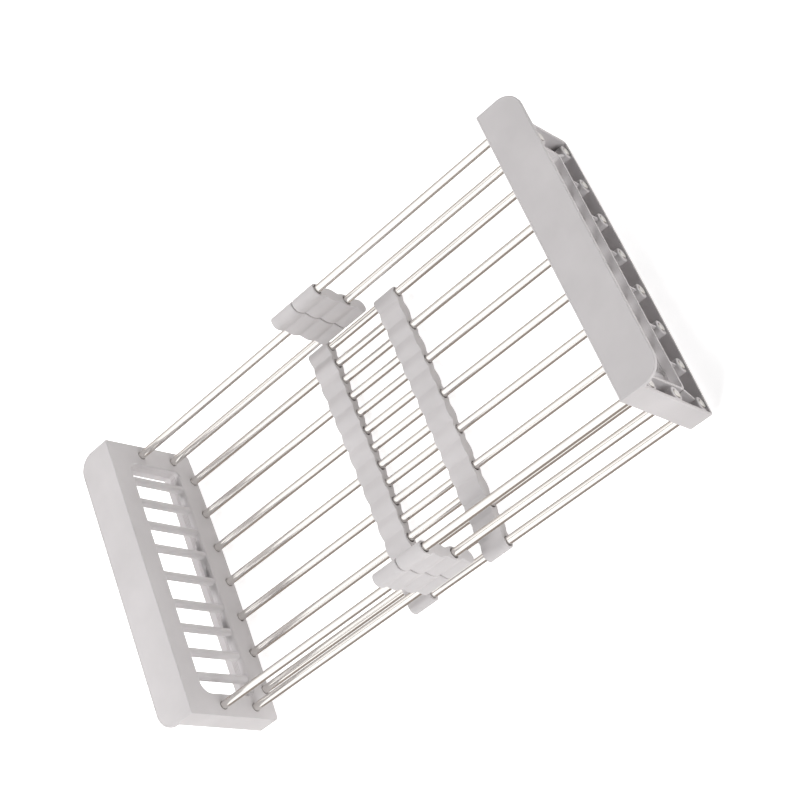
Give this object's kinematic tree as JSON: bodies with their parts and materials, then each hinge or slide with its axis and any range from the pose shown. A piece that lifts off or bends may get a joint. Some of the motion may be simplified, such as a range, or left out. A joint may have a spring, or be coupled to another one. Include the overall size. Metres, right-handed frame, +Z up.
{
  "type": "extending over-sink drying basket",
  "caption": "Telescoping drying basket of steel rods in two sliding halves, with flanged plastic end panels that hang on sink rims.",
  "frame": {"origin": "middle of the basket's footprint, at the height of the lower edges that it stands on", "axes": "+X along the rods, from the left half to the right half; +Y across the basket, to its back; +Z up, towards the open top"},
  "size_m": [0.403, 0.21, 0.082],
  "materials": {
    "end_panel": "satin moulded, warm light grey",
    "slider_plastic": "satin moulded, warm light grey",
    "rod": "polished steel"
  },
  "bodies": {
    "left_half": {"left_end_panel": "end_panel", "left_floor_comb": "slider_plastic", "left_side_clip_front": "slider_plastic", "left_side_clip_back": "slider_plastic", "left_floor_rod_1": "rod", "left_floor_rod_2": "rod", "left_floor_rod_3": "rod", "left_floor_rod_4": "rod", "left_floor_rod_5": "rod", "left_floor_rod_6": "rod", "left_floor_rod_7": "rod", "left_side_rod_front_low": "rod", "left_side_rod_front_high": "rod", "left_side_rod_back_low": "rod", "left_side_rod_back_high": "rod"},
    "right_half": {"right_end_panel": "end_panel", "right_floor_comb": "slider_plastic", "right_side_clip_front": "slider_plastic", "right_side_clip_back": "slider_plastic", "right_floor_rod_1": "rod", "right_floor_rod_2": "rod", "right_floor_rod_3": "rod", "right_floor_rod_4": "rod", "right_floor_rod_5": "rod", "right_floor_rod_6": "rod", "right_floor_rod_7": "rod", "right_floor_rod_8": "rod", "right_side_rod_front_low": "rod", "right_side_rod_front_high": "rod", "right_side_rod_back_low": "rod", "right_side_rod_back_high": "rod"}
  },
  "joints": [
    {"name": "pull_out", "type": "slide", "parent": "left_half", "child": "right_half", "axis": [1, 0, 0], "range_m": [-0.13, 0]}
  ]
}
